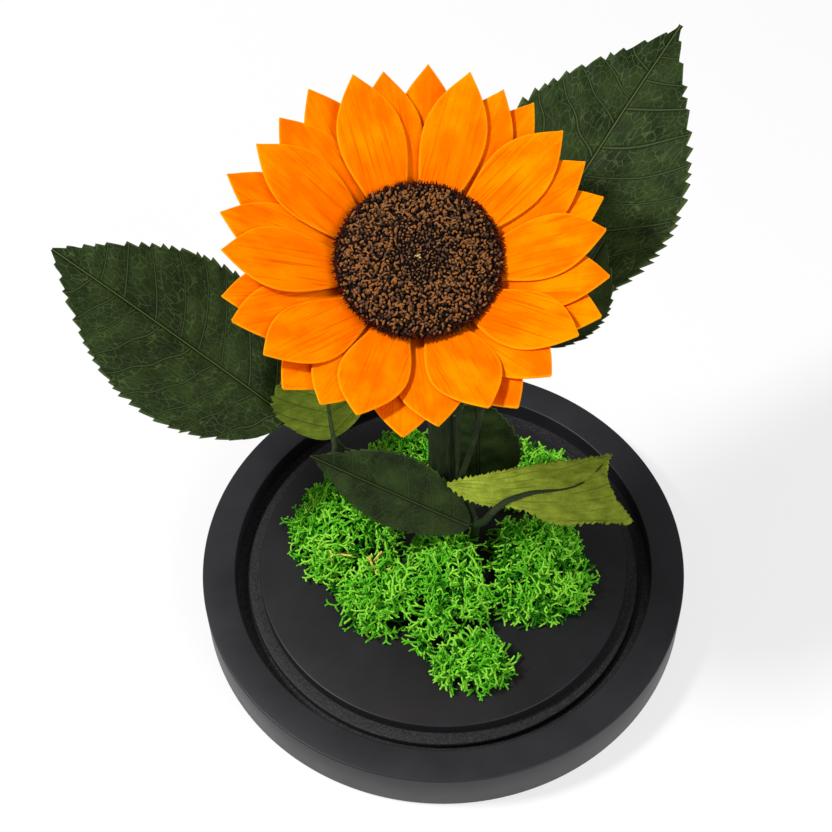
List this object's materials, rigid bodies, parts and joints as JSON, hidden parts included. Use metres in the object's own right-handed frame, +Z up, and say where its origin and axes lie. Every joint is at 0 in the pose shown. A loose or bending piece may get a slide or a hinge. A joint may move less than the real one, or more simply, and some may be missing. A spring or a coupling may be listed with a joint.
{
  "type": "preserved sunflower display",
  "caption": "Preserved sunflower bloom on a ribbed stem with serrated leaves and moss, on a round black dome base.",
  "frame": {"origin": "centre of the base's flat underside", "axes": "+Z up through the base's centre, -Y the front towards which the bloom leans, +X to the right seen from the front"},
  "size_m": [0.1835, 0.1541, 0.1791],
  "materials": {
    "black_paint": "matt black paint on turned wood board",
    "petal_orange": "felt-like preserved petal, matt",
    "disc_brown": "dense dry florets",
    "calyx_green": "matt green",
    "stem_green": "ribbed satin stem",
    "twig_green": "satin twig",
    "leaf_green": "semi-gloss preserved leaf, upper side",
    "leaf_underside": "matt preserved leaf, underside",
    "moss_green": "matt branching moss"
  },
  "bodies": {
    "root": {"base_plateau": "black_paint", "base_rim": "black_paint", "base_slab": "black_paint", "calyx": "calyx_green", "flower_disc": "disc_brown", "leaf_behind_stem": "leaf_green", "leaf_left": "leaf_green", "leaf_left_inner": "leaf_underside", "leaf_low_left": "leaf_green", "leaf_low_right": "leaf_underside", "leaf_under_bloom": "leaf_green", "leaf_upper_right": "leaf_green", "moss_back_left": "moss_green", "moss_back_right": "moss_green", "moss_front": "moss_green", "moss_front_left": "moss_green", "moss_front_tip": "moss_green", "moss_left": "moss_green", "moss_right": "moss_green", "petal_back_01": "petal_orange", "petal_back_02": "petal_orange", "petal_back_03": "petal_orange", "petal_back_04": "petal_orange", "petal_back_05": "petal_orange", "petal_back_06": "petal_orange", "petal_back_07": "petal_orange", "petal_back_08": "petal_orange", "petal_back_09": "petal_orange", "petal_back_10": "petal_orange", "petal_front_01": "petal_orange", "petal_front_02": "petal_orange", "petal_front_03": "petal_orange", "petal_front_04": "petal_orange", "petal_front_05": "petal_orange", "petal_front_06": "petal_orange", "petal_front_07": "petal_orange", "petal_front_08": "petal_orange", "petal_front_09": "petal_orange", "petal_front_10": "petal_orange", "petal_middle_01": "petal_orange", "petal_middle_02": "petal_orange", "petal_middle_03": "petal_orange", "petal_middle_04": "petal_orange", "petal_middle_05": "petal_orange", "petal_middle_06": "petal_orange", "petal_middle_07": "petal_orange", "petal_middle_08": "petal_orange", "petal_middle_09": "petal_orange", "petal_middle_10": "petal_orange", "stalk_high": "twig_green", "stalk_left": "twig_green", "stalk_left_tip": "twig_green", "stalk_low_right": "twig_green", "stalk_upright": "twig_green", "stem": "stem_green", "twig_foot": "twig_green", "twig_rise": "twig_green"}
  },
  "joints": []
}
